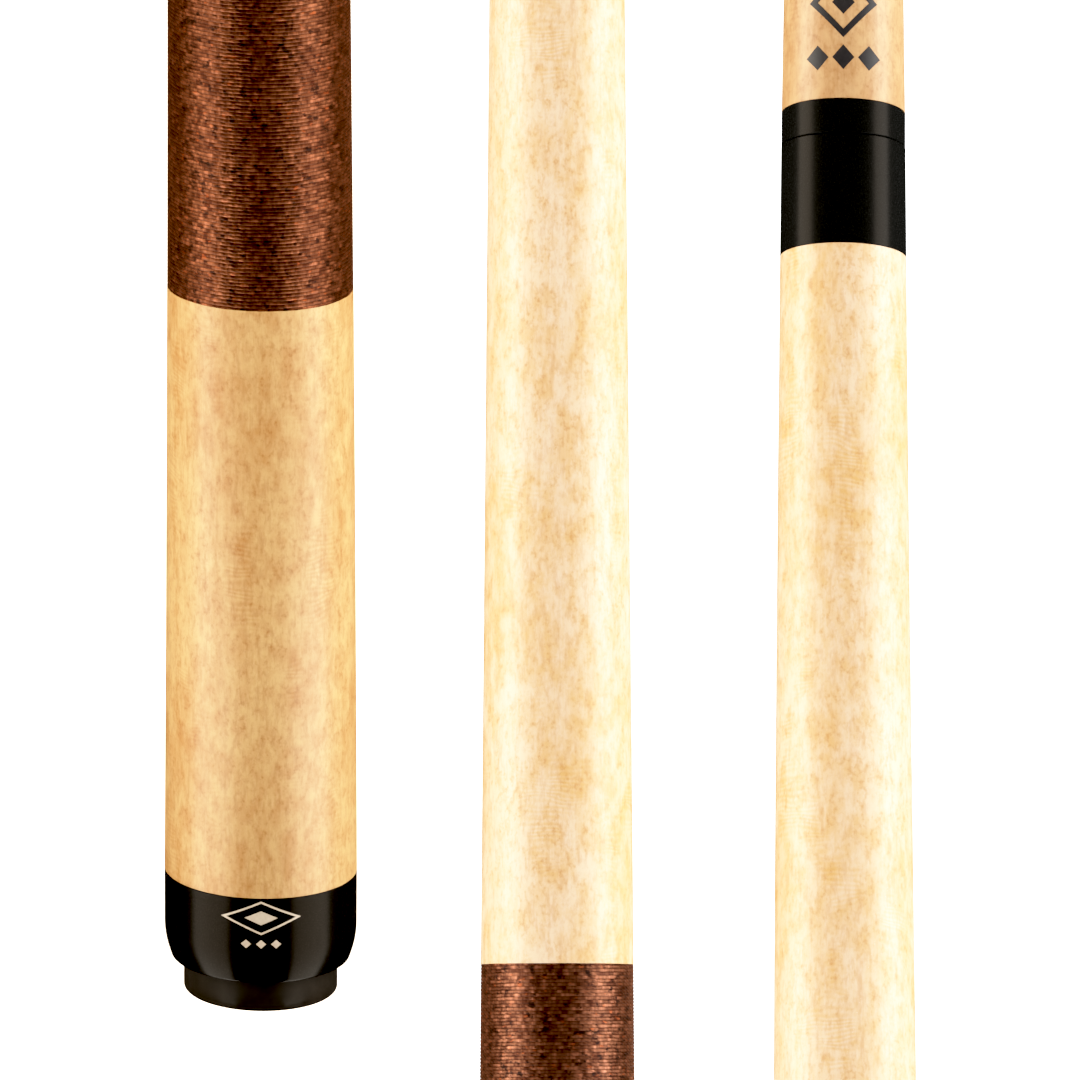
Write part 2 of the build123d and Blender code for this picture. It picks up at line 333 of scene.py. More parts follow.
def makeRubber():
    # moulded rubber: dull, with a fine grain
    look = rubberFinish
    rubber = newMaterial("bumperRubber")
    grain = noise(rubber, place(rubber), look["grain"], 3, 0.7)
    wear = band(rubber, noise(rubber, place(rubber), look["wear"], 3), 0.3, 0.75)
    setShader(
        rubber,
        Base_Color=mixColours(rubber, wear, tone(*look["dark"]), tone(*look["light"])),
        Roughness=band(rubber, grain, 0.3, 0.7, 0.5, 0.66),
        Specular_IOR_Level=look["specular"], Specular_Tint=look["glossTint"],
        Normal=bump(rubber, grain, 0.25, 0.03 * mm),
    )
    return rubber


def makeSteel(name, bright, dark):
    # turned metal: fine rings left by the tool
    metal = newMaterial(name)
    lines = noise(metal, place(metal, scale=(0.02, 0.02, 1)), 7000, 3, 0.7)
    cloud = noise(metal, place(metal), 300, 3)
    setShader(
        metal,
        Base_Color=mixColours(metal, band(metal, cloud, 0.3, 0.7), dark, bright),
        Metallic=1.0,
        Roughness=band(metal, lines, 0.3, 0.7, 0.2, 0.36),
        Normal=bump(metal, lines, 0.15, 0.01 * mm),
    )
    return metal


linenFinish = {
    "pitch": 0.57,          # mm from one cord to the next
    "crown": 0.13,          # mm that a cord stands above its grooves
    "steps": 48,            # around the handle
    "wall": 0.9,            # mm of the wrap's thickness
    "waver": 0.09,          # mm that a cord strays up and down
    "drift": 3.0,           # mm over which it strays
    "spareTurns": 1.5,      # wound past each end of the wrap, then cut off
    "weld": 0.005,          # mm between points that become one
    "speck": 1.5,           # mm across a dark speck
    "dash": 1.3,            # mm along the cord from a painted highlight to painted shade
    "ply": 1.5,             # mm along the cord from one twist of its plies to the next
}


def makeLinen():
    # speckled cord: painted highlights and painted shade in dashes along each turn, painted orange
    # highlights, painted shade towards the grooves between turns, and soft black specks over several turns
    look = linenFinish
    linen = newMaterial("speckledLinen")
    pitch = look["pitch"] * mm
    coordinates = addNode(linen, "ShaderNodeTexCoord").outputs["Object"]
    axes = addNode(linen, "ShaderNodeSeparateXYZ", {"Vector": coordinates})
    angle = combine(linen, "ARCTAN2", axes.outputs["Y"], axes.outputs["X"])
    turn = combine(linen, "DIVIDE", angle, 2 * math.pi)
    rows = combine(linen, "SUBTRACT", combine(linen, "DIVIDE", axes.outputs["Z"], pitch), turn)
    row = combine(linen, "FLOOR", rows)
    across = combine(linen, "SUBTRACT", rows, row)
    centre = combine(linen, "MULTIPLY", combine(linen, "ADD", row, turn), 5 * pitch)
    onCord = addNode(linen, "ShaderNodeCombineXYZ", {
        "X": axes.outputs["X"], "Y": axes.outputs["Y"], "Z": centre,
    }).outputs["Vector"]
    plyHighlightAndShade = noise(linen, onCord, 1000 / look["dash"], 2, 0.6)
    specks = noise(linen, place(linen, (1, 1, 1.3), rotation=(0.35, -0.35, 0)), 1000 / look["speck"], 2, 0.6)
    orangeHighlights = noise(linen, place(linen, (1, 1, 1.8), (0.3, 0, 0)), 1000 / look["dash"], 1, 0.5)
    cloud = noise(linen, coordinates, 190, 2)
    base = mixColours(linen, band(linen, cloud, 0.3, 0.7), tone(104, 62, 44), tone(122, 75, 53))
    # painted shade and painted highlights in dashes along the cord, standing for its twisted plies catching
    # the light
    colour = mixColours(linen, band(linen, plyHighlightAndShade, 0.36, 0.56, 0.0, 1.0), tone(68, 36, 24), base)
    colour = mixColours(linen, band(linen, plyHighlightAndShade, 0.56, 0.74), colour, tone(164, 100, 74))
    # painted highlights: short orange dashes where the cord would glint
    colour = mixColours(linen, band(linen, orangeHighlights, 0.66, 0.76, 0.0, 0.5), colour, tone(182, 88, 48))
    colour = mixColours(linen, band(linen, specks, 0.56, 0.68, 0.0, 0.9), colour, tone(26, 17, 15))
    # painted shade: the colour darkens towards the grooves between turns
    offCentre = combine(linen, "ABSOLUTE", combine(linen, "SUBTRACT", across, 0.5))
    colour = mixColours(linen, band(linen, offCentre, 0.2, 0.5, 0.0, 0.45), colour, tone(34, 16, 10))
    # the plies' twist shows as slanting ridges along the cord
    around = combine(linen, "MULTIPLY", angle, wrapLowRadius / (look["ply"] * mm) * 2 * math.pi)
    twist = combine(linen, "SINE", combine(linen, "ADD", around, combine(linen, "MULTIPLY", across, 5.0)))
    fuzz = noise(linen, coordinates, 4200, 2, 0.6)
    relief = combine(linen, "ADD", twist, combine(linen, "MULTIPLY", fuzz, 1.5))
    setShader(
        linen, Base_Color=colour, Metallic=0.76, Roughness=0.42, Specular_IOR_Level=0.2,
        Sheen_Weight=0.2, Sheen_Roughness=0.4, Sheen_Tint=(1.0, 0.4, 0.2, 1),
        Normal=bump(linen, relief, 0.3, 0.04 * mm),
    )
    return linen


def makePlain(name, light, dark, scale, roughness, specular=0.5):
    # cast or pressed stuff with a faint cloud in its colour
    plain = newMaterial(name)
    cloud = noise(plain, place(plain), scale, 4, 0.6)
    grain = noise(plain, place(plain), scale * 9, 2)
    setShader(
        plain,
        Base_Color=mixColours(plain, band(plain, cloud, 0.3, 0.7), dark, light),
        Roughness=band(plain, cloud, 0.3, 0.7, roughness, roughness + 0.12),
        Specular_IOR_Level=specular,
        Normal=bump(plain, grain, 0.1, 0.02 * mm),
    )
    return plain


blackResin = makeResin()
bumperRubber = makeRubber()
steel = makeSteel("brightSteel", tone(205, 205, 208), tone(160, 160, 165))
brass = makeSteel("turnedBrass", tone(214, 176, 96), tone(176, 136, 66))
speckledLinen = makeLinen()
ferruleResin = makePlain("ferruleResin", tone(228, 222, 208), tone(214, 206, 190), 900, 0.22)
padFibre = makePlain("padFibre", tone(44, 40, 38), tone(22, 20, 20), 2500, 0.6)
creamInk = makePlain("creamInk", tone(248, 242, 232), tone(234, 226, 212), 1500, 0.4)
blackInk = makePlain("blackInk", tone(38, 34, 34), tone(28, 25, 26), 1500, 0.45)


def makeLeather():
    leather = newMaterial("tipLeather")
    layers = noise(leather, place(leather, scale=(0.08, 0.08, 1)), 2600, 2)
    grain = noise(leather, place(leather), 2600, 4, 0.7)
    colour = mixColours(leather, band(leather, layers, 0.35, 0.65), tone(126, 78, 46), tone(74, 42, 24))
    setShader(
        leather,
        Base_Color=mixColours(leather, band(leather, grain, 0.5, 0.75, 0.0, 0.5), colour, tone(54, 88, 120)),
        Roughness=band(leather, grain, 0.3, 0.7, 0.6, 0.85),
        Specular_IOR_Level=0.3,
        Normal=bump(leather, grain, 0.35, 0.05 * mm),
    )
    return leather


tipLeather = makeLeather()
print("materials ready")

# the rubber bumper, with a ribbed plug that pushes into the cap, in mm
bumper = {
    "edge": 0.6, "edgeSteps": 6, "recessRadius": 6.5, "recessDepth": 0.5, "recessSlope": 0.8,
    "topBevel": 0.35, "plugRadius": 7.4, "plugGroove": 0.45, "ribs": 4, "ribPitch": 3.6, "plugNose": 1.5,
}


def makeBumper():
    p = {key: value * mm for key, value in bumper.items()}
    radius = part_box("bumper")[1].x
    footTop = lowEnd("butt_cap")
    top = highEnd("bumper")
    outline = [(0, p["recessDepth"]), (p["recessRadius"] - p["recessSlope"], p["recessDepth"])]
    outline.append((p["recessRadius"], 0))
    outline += roundEdge((radius - p["edge"], p["edge"]), (p["edge"],) * 2, -90, 0, bumper["edgeSteps"])
    outline += roundEdge((radius - p["topBevel"], footTop - p["topBevel"]), (p["topBevel"],) * 2, 0, 90, 4)
    outline.append((p["plugRadius"], footTop))
    for rib in range(bumper["ribs"]):
        low = footTop + p["ribPitch"] * (rib + 0.35)
        groove = p["plugRadius"] - p["plugGroove"]
        outline += [(p["plugRadius"], low), (groove, low + p["plugGroove"])]
        outline += [(groove, low + 3 * p["plugGroove"]), (p["plugRadius"], low + 4 * p["plugGroove"])]
    outline += [(p["plugRadius"], top - p["plugNose"]), (p["plugRadius"] - p["plugNose"], top), (0, top)]
    turnPiece(outline)
    finishPiece("rubberBumper", "bumper", bumperRubber, ["bumper"])


# the black cap at the butt end, in mm
buttCap = {
    "shoulderWidth": 1.05, "shoulderHeight": 5.9, "footEdge": 0.5, "bore": 11.0, "steps": 12, "seam": 0.07,
}


def makeButtCap():
    p = {key: value * mm for key, value in buttCap.items()}
    low = lowEnd("butt_cap")
    footRadius = capRadius - p["shoulderWidth"]
    rise = p["shoulderHeight"] - p["footEdge"]
    # the shoulder's arc meets the straight side without a corner
    bend = (rise ** 2 + p["shoulderWidth"] ** 2) / (2 * p["shoulderWidth"])
    lean = math.degrees(math.asin(rise / bend))
    corner = (footRadius - p["footEdge"], low + p["footEdge"])
    outline = [(p["bore"], low)]
    outline += roundEdge(corner, (p["footEdge"],) * 2, -90, -lean, 5)
    shoulder = (capRadius - bend, low + p["shoulderHeight"])
    outline += roundEdge(shoulder, (bend, bend), -lean, 0, buttCap["steps"])[1:]
    outline += [(capRadius, capTop - p["seam"]), (capRadius - p["seam"], capTop)]
    outline += [(p["bore"], capTop), (p["bore"], low)]
    turnPiece(outline)
    finishPiece("buttCap", "butt", blackResin, ["butt_cap"])


# the wooden butt sleeve and forearm, in mm
woodwork = {
    "seam": 0.06, "sleeveBore": 11.0, "handleTenon": 8.0, "handleTenonLength": 25.4,
    "stud": 4.76, "studDepth": 39.1, "collarTenon": 7.5, "tenonRecess": 0.3, "pinAnchorLength": 50.8,
}


def makeButtSleeve():
    p = {key: value * mm for key, value in woodwork.items()}
    turnPiece([
        (p["sleeveBore"], capTop), (capRadius - p["seam"], capTop), (capRadius, capTop + p["seam"]),
        (wrapLowRadius, wrapStart - p["seam"]), (wrapLowRadius - p["seam"], wrapStart),
        (p["sleeveBore"], wrapStart), (p["sleeveBore"], capTop),
    ])
    finishPiece("buttSleeve", "butt", buttMaple, ["butt_sleeve"])


def makeForearm():
    p = {key: value * mm for key, value in woodwork.items()}
    tenonEnd = wrapEnd + p["handleTenonLength"]
    studEnd = tenonEnd + p["studDepth"]
    collarTop = jointFace - p["tenonRecess"]
    pinStart = collarTop - p["pinAnchorLength"]
    turnPiece([
        (0, studEnd), (p["stud"], studEnd), (p["stud"], tenonEnd), (p["handleTenon"], tenonEnd),
        (p["handleTenon"], wrapEnd), (wrapHighRadius - p["seam"], wrapEnd),
        (wrapHighRadius, wrapEnd + p["seam"]), (collarRadius, collarStart - p["seam"]),
        (collarRadius - p["seam"], collarStart), (p["collarTenon"], collarStart),
        (p["collarTenon"], collarTop), (p["stud"], collarTop), (p["stud"], pinStart), (0, pinStart),
    ])
    finishPiece("forearmWood", "butt", foreMaple, ["forearm"])


# one wound cord, tapered to the handle and cut level at both ends
def makeWrap():
    look = linenFinish
    pitch, crown = look["pitch"] * mm, look["crown"] * mm
    height = wrapEnd - wrapStart
    slope = (wrapHighRadius - wrapLowRadius) / height
    baseRadius = wrapLowRadius - slope * wrapStart
    turns = math.ceil(height / pitch) + round(2 * look["spareTurns"])
    deselectAll()
    # half of a small ring is one cord's crown
    bpy.ops.mesh.primitive_circle_add(vertices=6, radius=pitch / 2, rotation=(math.pi / 2, 0, 0))
    cord = bpy.context.object
    bpy.ops.object.transform_apply(location=True, rotation=True, scale=True)
    bpy.ops.object.mode_set(mode="EDIT")
    bpy.ops.mesh.select_all(action="DESELECT")
    bpy.ops.object.mode_set(mode="OBJECT")
    for vertex in cord.data.vertices:
        vertex.select = vertex.co.x < -pitch * 0.1
    bpy.ops.object.mode_set(mode="EDIT")
    bpy.ops.mesh.delete(type="VERT")
    bpy.ops.mesh.select_all(action="SELECT")
    bpy.ops.transform.resize(value=(2 * crown / pitch, 1, 1), center_override=(0, 0, 0))
    startHeight = wrapStart - look["spareTurns"] * pitch
    bpy.ops.transform.translate(value=(baseRadius - crown, 0, startHeight))
    bpy.ops.object.mode_set(mode="OBJECT")
    winding = cord.modifiers.new("winding", "SCREW")
    winding.axis = "Z"
    winding.screw_offset = pitch
    winding.iterations = turns
    winding.steps = look["steps"]
    winding.render_steps = look["steps"]
    winding.use_merge_vertices = False
    bpy.ops.object.modifier_apply(modifier=winding.name)
    editAll()
    bpy.ops.mesh.remove_doubles(threshold=look["weld"] * mm)
    bpy.ops.object.mode_set(mode="OBJECT")
    drift = bpy.data.textures.new("cordDrift", "CLOUDS")
    drift.noise_scale = look["drift"] * mm
    waver = cord.modifiers.new("waver", "DISPLACE")
    waver.texture = drift
    waver.direction = "Z"
    waver.texture_coords = "LOCAL"
    waver.strength = 4 * look["waver"] * mm     # the clouds swing by about a quarter either way
    bpy.ops.object.modifier_apply(modifier=waver.name)
    heights = [v.co.z for v in cord.data.vertices]
    taper = cord.modifiers.new("taper", "SIMPLE_DEFORM")
    taper.deform_method = "TAPER"
    taper.deform_axis = "Z"
    taper.factor = slope * (max(heights) - min(heights)) / baseRadius
    bpy.ops.object.modifier_apply(modifier=taper.name)
    for level, outward, radius in ((wrapStart, -1, wrapLowRadius), (wrapEnd, 1, wrapHighRadius)):
        editAll()
        bpy.ops.mesh.bisect(plane_co=(0, 0, level), plane_no=(0, 0, outward), clear_outer=True)
        bpy.ops.mesh.extrude_region()
        factor = (radius - look["wall"] * mm) / (radius - crown / 2)
        bpy.ops.transform.resize(value=(factor, factor, 1), center_override=(0, 0, level))
        bpy.ops.object.mode_set(mode="OBJECT")
    bpy.ops.object.mode_set(mode="EDIT")
    bpy.ops.mesh.select_mode(type="EDGE")
    bpy.ops.mesh.select_all(action="DESELECT")
    bpy.ops.mesh.select_non_manifold()
    bpy.ops.mesh.bridge_edge_loops()
    bpy.ops.mesh.select_all(action="SELECT")
    bpy.ops.mesh.normals_make_consistent(inside=False)
    finishPiece("linenWrap", "butt", speckledLinen, ["linen_wrap"], 60)


# the two black collars that meet at the joint, in mm
collars = {"chamfer": 0.18, "buttBore": 7.5, "shaftBore": 8.03, "seam": 0.07}


def makeCollars():
    p = {key: value * mm for key, value in collars.items()}
    topRadius = rimRadius("joint_collar", jointFace) + p["chamfer"]
    turnPiece([
        (p["buttBore"], collarStart), (collarRadius - p["seam"], collarStart),
        (collarRadius, collarStart + p["seam"]), (topRadius, jointFace - p["chamfer"]),
        (topRadius - p["chamfer"], jointFace), (p["buttBore"], jointFace), (p["buttBore"], collarStart),
    ])
    finishPiece("jointCollar", "butt", blackResin, ["joint_collar"])
    turnPiece([
        (p["shaftBore"], jointFace), (jointRadius - p["chamfer"], jointFace),
        (jointRadius, jointFace + p["chamfer"]), (jointRadius, shaftStart - p["seam"]),
        (jointRadius - p["seam"], shaftStart), (p["shaftBore"], shaftStart), (p["shaftBore"], jointFace),
    ])
    finishPiece("shaftCollar", "collar_ring", blackResin, ["shaft_collar"])


# the shaft, ferrule, pad and tip, in mm
shaftWork = {
    "strokeLength": 330.0, "strokeRadius": 6.6, "blendLength": 180.0, "blendSteps": 16, "seam": 0.06,
    "tenon": 8.0, "tenonRecess": 0.3, "insertRadius": 6.35, "insertDepth": 38.2,
    "ferruleTenon": 4.0, "ferruleTenonLength": 19.0,
}
tipWork = {
    "domeRadius": 10.6, "domeSteps": 10, "layers": 5, "groove": 0.05, "ferruleEdge": 0.1,
    "burnish": 0.15,
}


def makeShaft():
    p = {key: value * mm for key, value in shaftWork.items()}
    footRadius = rimRadius("shaft", shaftStart)
    foot = jointFace + p["tenonRecess"]
    insertEnd = foot + p["insertDepth"]
    strokeEnd = ferruleStart - p["strokeLength"]
    blendEnd = strokeEnd - p["blendLength"]
    swell = (footRadius - p["strokeRadius"]) / (strokeEnd - p["blendLength"] / 2 - shaftStart)
    strokeSlope = (p["strokeRadius"] - tipRadius) / p["strokeLength"]
    outline = [
        (0, insertEnd), (p["insertRadius"], insertEnd), (p["insertRadius"], foot), (p["tenon"], foot),
        (p["tenon"], shaftStart), (footRadius - p["seam"], shaftStart), (footRadius, shaftStart + p["seam"]),
    ]
    # the slope eases from the swell's to the stroke's over the blend
    radius = footRadius - swell * (blendEnd - shaftStart)
    rise = p["blendLength"] / shaftWork["blendSteps"]
    for step in range(shaftWork["blendSteps"] + 1):
        outline.append((radius, blendEnd + step * rise))
        share = (step + 0.5) / shaftWork["blendSteps"]
        radius -= rise * (swell + (strokeSlope - swell) * share)
    outline += [
        (tipRadius, ferruleStart - p["seam"] / 2), (tipRadius - p["seam"] / 2, ferruleStart),
        (p["ferruleTenon"], ferruleStart), (p["ferruleTenon"], ferruleStart + p["ferruleTenonLength"]),
        (0, ferruleStart + p["ferruleTenonLength"]),
    ]
    turnPiece(outline)
    finishPiece("shaftWood", "shaft", shaftMaple, ["shaft"])


def makeTip():
    p = {key: value * mm for key, value in tipWork.items()}
    w = {key: value * mm for key, value in shaftWork.items()}
    edge = p["ferruleEdge"] / 2
    boreEnd = ferruleStart + w["ferruleTenonLength"]
    turnPiece([
        (0, boreEnd), (w["ferruleTenon"], boreEnd), (w["ferruleTenon"], ferruleStart),
        (tipRadius - edge, ferruleStart), (tipRadius, ferruleStart + edge),
        (tipRadius, padStart - edge), (tipRadius - edge, padStart), (0, padStart),
    ])
    finishPiece("whiteFerrule", "shaft", ferruleResin, ["ferrule"])
    turnPiece([
        (0, padStart), (tipRadius - edge, padStart), (tipRadius, padStart + edge),
        (tipRadius, tipStart - edge), (tipRadius - edge, tipStart), (0, tipStart),
    ])
    finishPiece("tipPad", "shaft", padFibre, ["tip_pad"])
    # pressed layers show as fine lines round the side, and a small burnished edge leads to the dome
    dome = p["domeRadius"] - math.sqrt(p["domeRadius"] ** 2 - tipRadius ** 2)
    sideTop = cueTop - dome - p["burnish"]
    outline = [(0, tipStart), (tipRadius, tipStart)]
    layer = (sideTop - tipStart) / tipWork["layers"]
    for count in range(1, tipWork["layers"]):
        level = tipStart + layer * count
        outline += [
            (tipRadius, level - p["groove"]), (tipRadius - p["groove"], level),
            (tipRadius, level + p["groove"]),
        ]
    outline.append((tipRadius, sideTop))
    edgeRadius = tipRadius - p["burnish"]
    full = math.asin(edgeRadius / p["domeRadius"])
    domeCentre = cueTop - p["domeRadius"]
    for step in range(tipWork["domeSteps"]):
        angle = full * (1 - step / tipWork["domeSteps"])
        radial = p["domeRadius"] * math.sin(angle)
        outline.append((radial, domeCentre + p["domeRadius"] * math.cos(angle)))
    outline.append((0, cueTop))
    turnPiece(outline)
    finishPiece("leatherTip", "shaft", tipLeather, ["tip"])


makeBumper()
makeButtCap()
makeButtSleeve()
makeForearm()
makeWrap()
makeCollars()
makeShaft()
makeTip()

# printed marks: an open lozenge with a small one inside, over three more, in mm
marks = {
    "cap": {"height": 17.45, "width": 13.2, "tall": 5.8, "line": 0.13, "inner": 0.42, "below": 4.5,
            "smallWidth": 1.7, "smallTall": 1.5, "apart": 2.5},
    "shaft": {"height": 758.6, "width": 11.0, "tall": 12.0, "line": 0.24, "inner": 0.34, "below": 9.3,
              "smallWidth": 3.6, "smallTall": 4.2, "apart": 4.2},
    "facing": 315, "lift": 0.02, "thickness": 0.02, "cuts": 16, "standOff": 40.0,
}


def addLozenge(centre, halfWidth, halfTall, ring=None):
    # a flat four-cornered shape in edit mode, with a hole when ring gives the hole's share
    fill = "NOTHING" if ring else "NGON"
    bpy.ops.mesh.primitive_circle_add(vertices=4, radius=1, fill_type=fill)
    bpy.ops.transform.resize(value=(halfWidth, halfTall, 1), center_override=(0, 0, 0))
    bpy.ops.transform.translate(value=(*centre, 0))
    if ring:
        bpy.ops.mesh.extrude_region()
        bpy.ops.transform.resize(value=(ring, ring, 1), center_override=(*centre, 0))


def makeMark(name, surface, body, material, kind):
    p = {key: value * (1 if key in ("line", "inner") else mm) for key, value in marks[kind].items()}
    wide, tall = p["width"] / 2, p["tall"] / 2
    deselectAll()
    bpy.ops.mesh.primitive_circle_add(vertices=4, radius=0.001, fill_type="NGON")
    editAll()
    bpy.ops.mesh.delete(type="VERT")
    addLozenge((0, 0), wide, tall, 1 - p["line"])
    addLozenge((0, 0), wide * p["inner"], tall * p["inner"])
    for offset in (-p["apart"], 0, p["apart"]):
        addLozenge((offset, -p["below"]), p["smallWidth"] / 2, p["smallTall"] / 2)
    bpy.ops.mesh.select_all(action="SELECT")
    bpy.ops.mesh.subdivide(number_cuts=marks["cuts"])
    bpy.ops.mesh.normals_make_consistent(inside=False)
    bpy.ops.object.mode_set(mode="OBJECT")
    mark = bpy.context.object
    mark.rotation_euler = (math.pi / 2, 0, 0)
    mark.location = (0, -marks["standOff"] * mm, p["height"])
    bpy.ops.object.transform_apply(location=True, rotation=True, scale=True)
    wrapping = mark.modifiers.new("wrapping", "SHRINKWRAP")
    wrapping.target = bpy.data.objects[surface]
    wrapping.wrap_method = "PROJECT"
    wrapping.use_project_y = True
    wrapping.wrap_mode = "ABOVE_SURFACE"
    wrapping.offset = marks["lift"] * mm
    bpy.ops.object.modifier_apply(modifier=wrapping.name)
    ink = mark.modifiers.new("ink", "SOLIDIFY")
    ink.thickness = marks["thickness"] * mm
    bpy.ops.object.modifier_apply(modifier=ink.name)
    editAll()
    bpy.ops.mesh.normals_make_consistent(inside=False)
    bpy.ops.object.mode_set(mode="OBJECT")
    mark.rotation_euler = (0, 0, math.radians(marks["facing"]))
    bpy.ops.object.transform_apply(location=True, rotation=True, scale=True)
    finishPiece(name, body, material)


makeMark("capMark", "buttCap", "butt", creamInk, "cap")
makeMark("shaftMark", "shaftWood", "shaft", blackInk, "shaft")

# the pieces inside keep their CAD shapes
for node, material in (
    ("weight_bolt", steel), ("handle_stud", steel), ("joint_pin", steel),
    ("shaft_insert", brass), ("handle_core", coreMaple),
):
    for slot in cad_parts[node].material_slots:
        slot.material = material
print("inner pieces finished")

# the camera, in metres and degrees
viewpoint = {
    "azimuth": 315, "distance": 1.275, "height": 0.4174,
    "aimHeight": 0.5093, "aimAside": 0.00285, "frameHeight": 0.1791,
    "sensor": 36,               # mm
    "clipStart": 0.01, "clipEnd": 200,
}
turnAngle = math.radians(viewpoint["azimuth"])
lookFlat = Vector((-math.sin(turnAngle), math.cos(turnAngle), 0))
aside = lookFlat.cross(Vector((0, 0, 1)))
eye = -lookFlat * viewpoint["distance"] + Vector((0, 0, viewpoint["height"]))
aim = -aside * viewpoint["aimAside"] + Vector((0, 0, viewpoint["aimHeight"]))
forward = (aim - eye).normalized()
cameraRight = forward.cross(Vector((0, 0, 1))).normalized()
cameraUp = cameraRight.cross(forward)
halfTangent = viewpoint["frameHeight"] / 2 / (aim - eye).length

bpy.ops.object.camera_add(location=eye, rotation=forward.to_track_quat("-Z", "Y").to_euler())
camera = bpy.context.object
camera.name = "studioCamera"
camera.data.sensor_width = viewpoint["sensor"]
camera.data.lens = camera.data.sensor_width / 2 / halfTangent
camera.data.clip_start = viewpoint["clipStart"]
camera.data.clip_end = viewpoint["clipEnd"]
scene.camera = camera

# split-field prisms: clear wedges before the lens that bring the cap and the joint into view; the left
# wedge's tint is painted shade
# each working face leans by its two slopes, upwards and sideways; the rims are painted white
prisms = {
    "gap": 100.0, "thickness": 4.0, "refraction": 2.0, "block": 30.0,
    "aligned": 0.9999,          # a side this square to a working face is one
    # the left wedge's colour is painted shade: it dims and warms the view of the cue's lower end, standing
    # for weaker, warmer light there; the right one is neutral
    "left": {"edge": -0.226, "middle": -0.5185, "widen": 0.035, "shadeTint": (0.89, 0.82, 0.745),
             "front": (0.54891, -0.02233), "back": (0.16043, 0.02071)},
    "right": {"edge": 0.304, "middle": 0.562, "widen": 0.031, "shadeTint": (1, 1, 1),
              "front": (-0.43957, -0.00669), "back": (-0.2963, -0.04843)},
}


def makeRimPaint():
    paint = newMaterial("rimPaint")
    setShader(
        paint, Base_Color=(0, 0, 0, 1), Specular_IOR_Level=0.0,
        Emission_Color=(1, 1, 1, 1), Emission_Strength=studio["backdrop"],
    )
    return paint


def makePrism(side, rimPaint):
    shape = prisms[side]
    gap, thickness = prisms["gap"] * mm, prisms["thickness"] * mm
    sign = -1 if side == "left" else 1
    farSide = eye + forward * (gap + thickness)
    deselectAll()
    bpy.ops.mesh.primitive_cube_add(size=prisms["block"] * mm, location=farSide)
    block = bpy.context.object
    block.name = side + "Prism"
    bpy.ops.object.transform_apply(location=True, rotation=True, scale=True)
    # the two working faces, then the upright rim that lies along the camera's own rays
    rays = forward + cameraRight * halfTangent * shape["edge"]
    normals = []
    for upSlope, sideSlope in (shape["front"], shape["back"]):
        normals.append(-forward + cameraUp * upSlope + cameraRight * sideSlope)
    cuts = (
        (eye + forward * gap, normals[0]),
        (farSide, -normals[1]),
        (eye, rays.cross(cameraUp) * -sign),
    )
    for point, normal in cuts:
        editAll()
        bpy.ops.mesh.bisect(plane_co=point, plane_no=normal, use_fill=True, clear_outer=True)
        bpy.ops.object.mode_set(mode="OBJECT")
    # the front face is figured as a very weak upright lens, which widens its view of the cue
    glass = newMaterial(side + "Glass")
    distance = viewpoint["distance"]
    radius = gap * (distance - gap) * (prisms["refraction"] - 1) / (distance * shape["widen"])
    middle = eye + forward * gap + cameraRight * gap * halfTangent * shape["middle"]
    spot = addNode(glass, "ShaderNodeTexCoord").outputs["Object"]
    surface = addNode(glass, "ShaderNodeNewGeometry").outputs
    kind = "ShaderNodeVectorMath"
    sideways = tuple(cameraRight)
    along = addNode(glass, kind, {0: spot, 1: sideways}, operation="DOT_PRODUCT").outputs["Value"]
    offCentre = combine(glass, "SUBTRACT", along, middle.dot(cameraRight))
    front = combine(glass, "SUBTRACT", 1.0, surface["Backfacing"])
    lean = combine(glass, "MULTIPLY", combine(glass, "DIVIDE", offCentre, radius), front)
    tilt = addNode(glass, kind, {0: sideways, "Scale": lean}, operation="SCALE").outputs[0]
    tilted = addNode(glass, kind, {0: surface["Normal"], 1: tilt}, operation="ADD").outputs[0]
    figured = addNode(glass, kind, {0: tilted}, operation="NORMALIZE").outputs[0]
    # on the left wedge the glass colour is painted shade, dimming and warming its view
    bend = addNode(glass, "ShaderNodeBsdfRefraction", {
        "Color": (*shape["shadeTint"], 1), "Roughness": 0.0, "IOR": prisms["refraction"], "Normal": figured,
    })
    feed(glass, glass.node_tree.nodes["Material Output"], "Surface", bend.outputs[0])
    block.data.materials.append(glass)
    block.data.materials.append(rimPaint)
    for face in block.data.polygons:
        worked = max(abs(face.normal.dot(normal.normalized())) for normal in normals)
        face.material_index = 0 if worked > prisms["aligned"] else 1
    for unseen in ("visible_diffuse", "visible_glossy", "visible_shadow", "visible_volume_scatter"):
        setattr(block, unseen, False)


# floor, backdrop and the camera's contrast
studio = {
    "backdrop": 2.6, "ambient": 0.1, "glossyAmbient": 0.01,
    "floorSize": 80.0,          # m
    "floorDrop": 24.0,          # mm below the cue's foot, clear of the bumper when it is out
    "blackLevel": 0.011, "whiteLevel": 1.11,
    "contrast": ((0.24, 0.35), (0.5, 0.67), (0.75, 0.89)),
}
